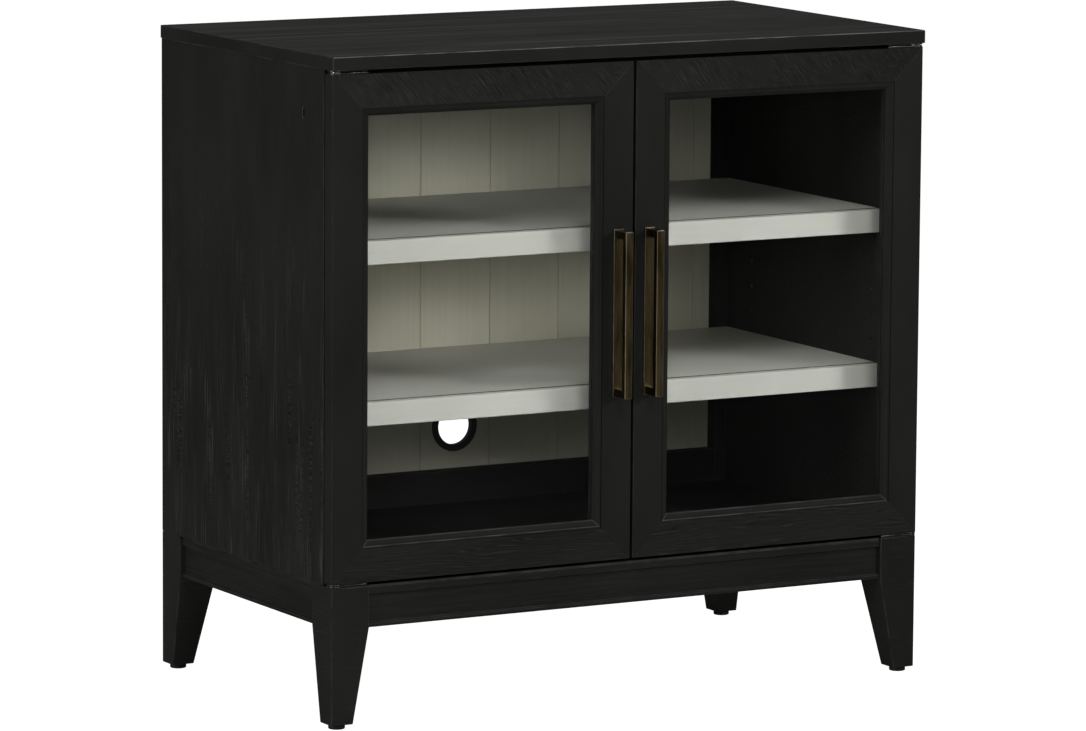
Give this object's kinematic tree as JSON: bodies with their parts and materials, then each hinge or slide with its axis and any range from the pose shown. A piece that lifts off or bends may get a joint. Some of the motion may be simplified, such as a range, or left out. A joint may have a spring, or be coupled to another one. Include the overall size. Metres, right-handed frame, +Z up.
{
  "type": "media cabinet",
  "caption": "Black stained wood media cabinet on four tapered legs, with two glazed doors on knife hinges, adjustable pale shelves, a grooved back with a cable grommet and screw-in feet.",
  "frame": {"origin": "on the floor under the middle of the overall width and depth, handles included", "axes": "+Z up, the doors face -Y, +X to the right of someone facing the doors"},
  "size_m": [0.8146, 0.48, 0.795],
  "materials": {
    "black_wood": "black stained, wire brushed, satin lacquer",
    "pale_lacquer": "warm pale grey lacquer, satin",
    "clear_glass": "clear 4 mm pane",
    "aged_brass": "antique brass, brushed and darkened",
    "hinge_bronze": "dark bronzed leaf with a worn edge",
    "black_plastic": "moulded, matte"
  },
  "bodies": {
    "case": {"top_panel": "black_wood", "left_side_panel": "black_wood", "right_side_panel": "black_wood", "back_panel": "pale_lacquer", "cable_grommet": "black_plastic", "rear_left_cleat": "black_wood", "rear_right_cleat": "black_wood", "rear_bottom_rail": "black_wood", "front_top_rail": "black_wood", "bottom_panel": "black_wood", "double_magnet_catch": "black_plastic", "front_left_leg": "black_wood", "front_right_leg": "black_wood", "rear_left_leg": "black_wood", "rear_right_leg": "black_wood", "front_apron": "black_wood", "left_apron": "black_wood", "right_apron": "black_wood", "rear_apron": "black_wood", "base_batten": "black_wood", "upper_shelf_left_front_support": "hinge_bronze", "upper_shelf_left_rear_support": "hinge_bronze", "upper_shelf_right_front_support": "hinge_bronze", "upper_shelf_right_rear_support": "hinge_bronze", "lower_shelf_left_front_support": "hinge_bronze", "lower_shelf_left_rear_support": "hinge_bronze", "lower_shelf_right_front_support": "hinge_bronze", "lower_shelf_right_rear_support": "hinge_bronze", "left_case_bottom_leaf": "hinge_bronze", "left_case_top_leaf": "hinge_bronze", "right_case_bottom_leaf": "hinge_bronze", "right_case_top_leaf": "hinge_bronze"},
    "left_door": {"left_door_outer_stile": "black_wood", "left_door_inner_stile": "black_wood", "left_door_top_rail": "black_wood", "left_door_bottom_rail": "black_wood", "left_door_bead": "black_wood", "left_door_glass": "clear_glass", "left_door_glass_stop": "black_wood", "left_door_bottom_leaf": "hinge_bronze", "left_door_top_leaf": "hinge_bronze", "left_handle_plate": "aged_brass", "left_handle_bar": "aged_brass"},
    "right_door": {"right_door_outer_stile": "black_wood", "right_door_inner_stile": "black_wood", "right_door_top_rail": "black_wood", "right_door_bottom_rail": "black_wood", "right_door_bead": "black_wood", "right_door_glass": "clear_glass", "right_door_glass_stop": "black_wood", "right_door_bottom_leaf": "hinge_bronze", "right_door_top_leaf": "hinge_bronze", "right_handle_plate": "aged_brass", "right_handle_bar": "aged_brass"},
    "upper_shelf_board": {"upper_shelf": "pale_lacquer"},
    "lower_shelf_board": {"lower_shelf": "pale_lacquer"},
    "front_left_foot": {"front_left_leveller": "black_plastic"},
    "front_right_foot": {"front_right_leveller": "black_plastic"},
    "rear_left_foot": {"rear_left_leveller": "black_plastic"},
    "rear_right_foot": {"rear_right_leveller": "black_plastic"}
  },
  "joints": [
    {"name": "left_door_hinge", "type": "hinge", "parent": "case", "child": "left_door", "pos_m": [-0.3983, -0.2055, 0.4742], "axis": [0, 0, -1], "range_deg": [0, 170]},
    {"name": "right_door_hinge", "type": "hinge", "parent": "case", "child": "right_door", "pos_m": [0.3983, -0.2055, 0.4742], "axis": [0, 0, 1], "range_deg": [0, 170]},
    {"name": "upper_shelf_lift", "type": "slide", "parent": "case", "child": "upper_shelf_board", "axis": [0, 0, 1], "range_m": [0, 0.032]},
    {"name": "lower_shelf_lift", "type": "slide", "parent": "case", "child": "lower_shelf_board", "axis": [0, 0, 1], "range_m": [0, 0.032]},
    {"name": "front_left_foot_screw", "type": "slide", "parent": "case", "child": "front_left_foot", "axis": [0, 0, -1], "range_m": [0, 0.01]},
    {"name": "front_right_foot_screw", "type": "slide", "parent": "case", "child": "front_right_foot", "axis": [0, 0, -1], "range_m": [0, 0.01]},
    {"name": "rear_left_foot_screw", "type": "slide", "parent": "case", "child": "rear_left_foot", "axis": [0, 0, -1], "range_m": [0, 0.01]},
    {"name": "rear_right_foot_screw", "type": "slide", "parent": "case", "child": "rear_right_foot", "axis": [0, 0, -1], "range_m": [0, 0.01]}
  ]
}
